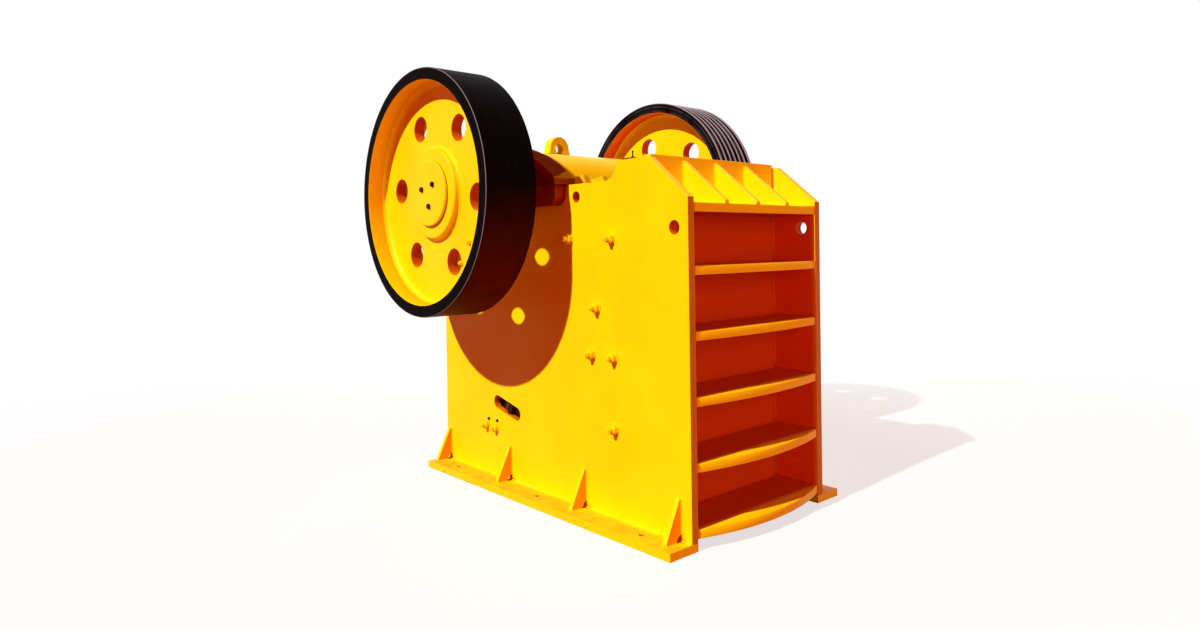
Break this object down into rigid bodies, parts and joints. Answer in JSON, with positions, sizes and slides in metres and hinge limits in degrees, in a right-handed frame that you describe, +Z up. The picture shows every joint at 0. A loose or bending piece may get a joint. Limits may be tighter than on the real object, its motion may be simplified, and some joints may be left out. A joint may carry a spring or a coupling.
{
  "type": "jaw crusher",
  "caption": "Single-toggle jaw crusher: welded box frame with bowed front shelves, flywheel and belt sheave on an eccentric shaft, moving jaw and toggle gear.",
  "frame": {"origin": "centre of the base bolt pattern, at floor level", "axes": "+X along the shaft towards the belt sheave, -Y towards the feed end with the shelves, +Z up"},
  "size_m": [2.194, 2.389, 2.498],
  "materials": {
    "yellow_enamel": "gloss yellow enamel",
    "wheel_enamel": "black enamel, yellow inside the rim",
    "machined_steel": "turned and oiled",
    "spring_steel": "black",
    "manganese_steel": "as cast",
    "cast_steel": "as cast"
  },
  "bodies": {
    "frame": {"adjusting_wedges": "cast_steel", "base_flange_left": "yellow_enamel", "base_flange_right": "yellow_enamel", "base_gussets_left": "yellow_enamel", "base_gussets_right": "yellow_enamel", "bearing_cap_left": "yellow_enamel", "bearing_cap_right": "yellow_enamel", "bearing_seat_left": "yellow_enamel", "bearing_seat_right": "yellow_enamel", "cheek_plates_left": "manganese_steel", "cheek_plates_right": "manganese_steel", "fixed_jaw_bars": "cast_steel", "fixed_jaw_plate": "manganese_steel", "front_shelf_1": "yellow_enamel", "front_shelf_2": "yellow_enamel", "front_shelf_3": "yellow_enamel", "front_shelf_4": "yellow_enamel", "front_shelf_5": "yellow_enamel", "front_shelf_6": "yellow_enamel", "front_wall": "yellow_enamel", "rear_shelves": "yellow_enamel", "rear_wall": "yellow_enamel", "side_plate_left": "yellow_enamel", "side_plate_right": "yellow_enamel", "tension_rod": "machined_steel", "tension_spring": "spring_steel", "thrust_block": "cast_steel", "toggle_block": "cast_steel", "toggle_plate": "cast_steel", "top_ribs": "yellow_enamel", "wedge_bracket": "yellow_enamel"},
    "rotor": {"eccentric_shaft": "machined_steel", "flywheel_rim": "wheel_enamel", "flywheel_web": "yellow_enamel", "sheave_rim": "wheel_enamel", "sheave_web": "yellow_enamel", "hub_caps": "yellow_enamel"},
    "moving_jaw": {"pitman": "yellow_enamel", "pitman_webs": "yellow_enamel", "lifting_eye": "yellow_enamel", "swing_jaw_plate": "manganese_steel", "swing_jaw_wedge": "cast_steel"}
  },
  "joints": [
    {"name": "shaft_spin", "type": "hinge", "parent": "frame", "child": "rotor", "pos_m": [0, 0.458, 1.785], "axis": [1, 0, 0], "continuous": true},
    {"name": "jaw_swing", "type": "hinge", "parent": "rotor", "child": "moving_jaw", "pos_m": [0, 0.458, 1.773], "axis": [1, 0, 0], "continuous": true}
  ],
  "couplings": [
    {"joint": "jaw_swing", "follows": "shaft_spin", "ratio": -1}
  ]
}
